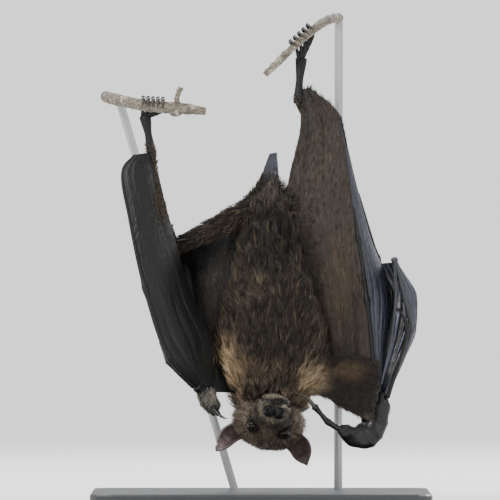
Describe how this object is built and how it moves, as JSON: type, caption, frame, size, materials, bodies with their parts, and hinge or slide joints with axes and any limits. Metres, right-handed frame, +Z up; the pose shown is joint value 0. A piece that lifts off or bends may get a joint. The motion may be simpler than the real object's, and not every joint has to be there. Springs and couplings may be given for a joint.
{
  "type": "fruit bat",
  "caption": "Life-size fruit bat hanging head down by both feet from two twigs, wings part folded, on a plain display stand.",
  "frame": {"origin": "centre of the underside of the stand's flat base", "axes": "+Z up; the bat hangs head down and its belly and face look along -Y; its own left side is at -X"},
  "size_m": [0.244, 0.176, 0.3551],
  "materials": {
    "body_fur": "long soft dark brown fur",
    "mantle_fur": "golden brown mantle fur with pale tips",
    "face_fur": "short grey-brown fur",
    "ear_skin": "bare dark skin, soft sheen",
    "eye": "glossy dark brown",
    "wing_skin": "dark grey bare skin, fine creases",
    "claw": "dark horn",
    "bark": "grey-brown bark with lichen",
    "stand_plate": "satin black paint",
    "stand_rod": "satin grey"
  },
  "bodies": {
    "root": {"abdomen": "body_fur", "chest": "body_fur", "ear_left": "ear_skin", "ear_right": "ear_skin", "eye_left": "eye", "eye_right": "eye", "finger_fifth_left": "wing_skin", "finger_fifth_right": "wing_skin", "finger_fourth_left": "wing_skin", "finger_fourth_right": "wing_skin", "finger_index_left": "wing_skin", "finger_index_right": "wing_skin", "finger_third_left": "wing_skin", "finger_third_right": "wing_skin", "foot_left": "wing_skin", "foot_right": "wing_skin", "forearm_left": "wing_skin", "forearm_right": "wing_skin", "hand_left": "wing_skin", "hand_right": "wing_skin", "head": "face_fur", "neck": "mantle_fur", "perch_left": "bark", "perch_right": "bark", "shin_left": "body_fur", "shin_right": "body_fur", "stand_base": "stand_plate", "stand_rod_left": "stand_rod", "stand_rod_right": "stand_rod", "tail_membrane": "wing_skin", "thigh_left": "body_fur", "thigh_right": "body_fur", "thumb_claw_left": "claw", "thumb_claw_right": "claw", "thumb_left": "wing_skin", "thumb_right": "wing_skin", "upper_arm_left": "body_fur", "upper_arm_right": "body_fur", "wing_arm_left": "wing_skin", "wing_arm_right": "wing_skin", "wing_front_left": "wing_skin", "wing_front_right": "wing_skin", "wing_hand_left": "wing_skin", "wing_hand_right": "wing_skin", "wing_outer_left": "wing_skin", "wing_outer_right": "wing_skin"}
  },
  "joints": []
}
